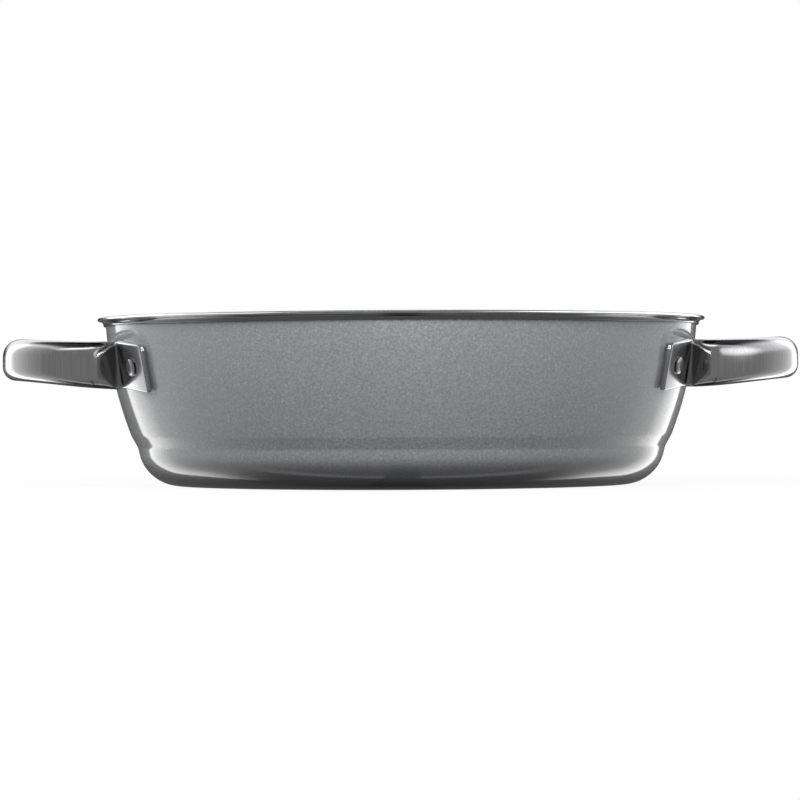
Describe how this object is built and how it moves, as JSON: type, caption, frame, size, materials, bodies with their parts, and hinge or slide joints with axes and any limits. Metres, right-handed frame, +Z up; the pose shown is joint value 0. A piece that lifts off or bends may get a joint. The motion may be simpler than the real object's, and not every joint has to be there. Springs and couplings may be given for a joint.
{
  "type": "cooking pot",
  "caption": "Shallow round enamelled steel cooking pot with a flared wall, a bright crimped rim band and hollow steel loop handles riveted to the wall.",
  "frame": {"origin": "centre of the flat base, on the surface the pot stands on", "axes": "+Z up along the pot's axis, +X through the right handle, -Y towards the camera of the picture"},
  "size_m": [0.3778, 0.2882, 0.0795],
  "materials": {
    "speckled_enamel": "glossy grey enamel with a fine light metallic speckle",
    "polished_steel": "polished",
    "satin_steel": "satin polished"
  },
  "bodies": {
    "root": {"pot_body": "speckled_enamel", "rim_band": "polished_steel", "left_handle": "satin_steel", "right_handle": "satin_steel", "left_front_rivet": "polished_steel", "left_rear_rivet": "polished_steel", "right_front_rivet": "polished_steel", "right_rear_rivet": "polished_steel"}
  },
  "joints": []
}
